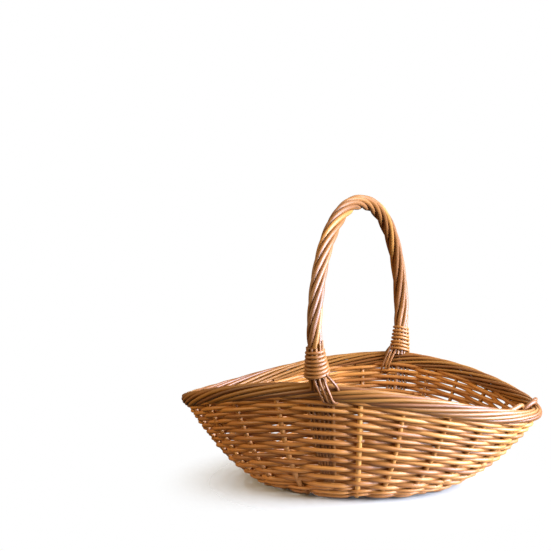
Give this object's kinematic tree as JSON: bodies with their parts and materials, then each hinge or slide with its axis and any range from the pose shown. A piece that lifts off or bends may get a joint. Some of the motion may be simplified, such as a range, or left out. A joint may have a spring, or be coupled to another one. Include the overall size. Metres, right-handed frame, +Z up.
{
  "type": "woven fruit basket",
  "caption": "Oval willow fruit basket with a saddle-shaped rolled rim, round woven base and a fixed roped handle across its short side.",
  "frame": {"origin": "centre of the footprint, at the underside of the base", "axes": "+X along the basket's length, +Y across it in the plane of the handle, +Z up"},
  "size_m": [0.406, 0.3314, 0.3104],
  "materials": {
    "weaver_willow": "satin buff willow weavers, honey to tan, each rod its own tone",
    "stake_willow": "satin pale buff willow stakes",
    "border_willow": "satin buff willow, slightly darker where it is bent",
    "handle_willow": "satin buff willow with fine lengthwise grain",
    "lapping_willow": "satin thin willow skein",
    "base_willow": "matt buff willow"
  },
  "bodies": {
    "root": {"base_weave": "base_willow", "base_stick_1": "base_willow", "base_stick_2": "base_willow", "base_stick_3": "base_willow", "base_stick_4": "base_willow", "base_stick_5": "base_willow", "base_stick_6": "base_willow", "upsett_wale": "weaver_willow", "side_weave_lower": "weaver_willow", "side_weave_middle": "weaver_willow", "side_weave_upper": "weaver_willow", "side_stake_01": "stake_willow", "side_stake_02": "stake_willow", "side_stake_03": "stake_willow", "side_stake_04": "stake_willow", "side_stake_05": "stake_willow", "side_stake_06": "stake_willow", "side_stake_07": "stake_willow", "side_stake_08": "stake_willow", "side_stake_09": "stake_willow", "side_stake_10": "stake_willow", "side_stake_11": "stake_willow", "side_stake_12": "stake_willow", "side_stake_13": "stake_willow", "side_stake_14": "stake_willow", "side_stake_15": "stake_willow", "side_stake_16": "stake_willow", "side_stake_17": "stake_willow", "side_stake_18": "stake_willow", "side_stake_19": "stake_willow", "side_stake_20": "stake_willow", "side_stake_21": "stake_willow", "side_stake_22": "stake_willow", "rolled_border": "border_willow", "handle_bow": "handle_willow", "handle_rope_1": "handle_willow", "handle_rope_2": "handle_willow", "handle_rope_3": "handle_willow", "handle_rope_4": "handle_willow", "handle_rope_5": "handle_willow", "handle_rope_6": "handle_willow", "lapping_front": "lapping_willow", "lapping_rear": "lapping_willow", "handle_foot_front_1": "handle_willow", "handle_foot_front_2": "handle_willow", "handle_foot_front_3": "handle_willow", "handle_foot_front_4": "handle_willow", "handle_foot_rear_1": "handle_willow", "handle_foot_rear_2": "handle_willow", "handle_foot_rear_3": "handle_willow", "handle_foot_rear_4": "handle_willow", "handle_tail_front_1": "handle_willow", "handle_tail_front_2": "handle_willow", "handle_tail_front_3": "handle_willow", "handle_tail_rear_1": "handle_willow", "handle_tail_rear_2": "handle_willow", "handle_tail_rear_3": "handle_willow"}
  },
  "joints": []
}
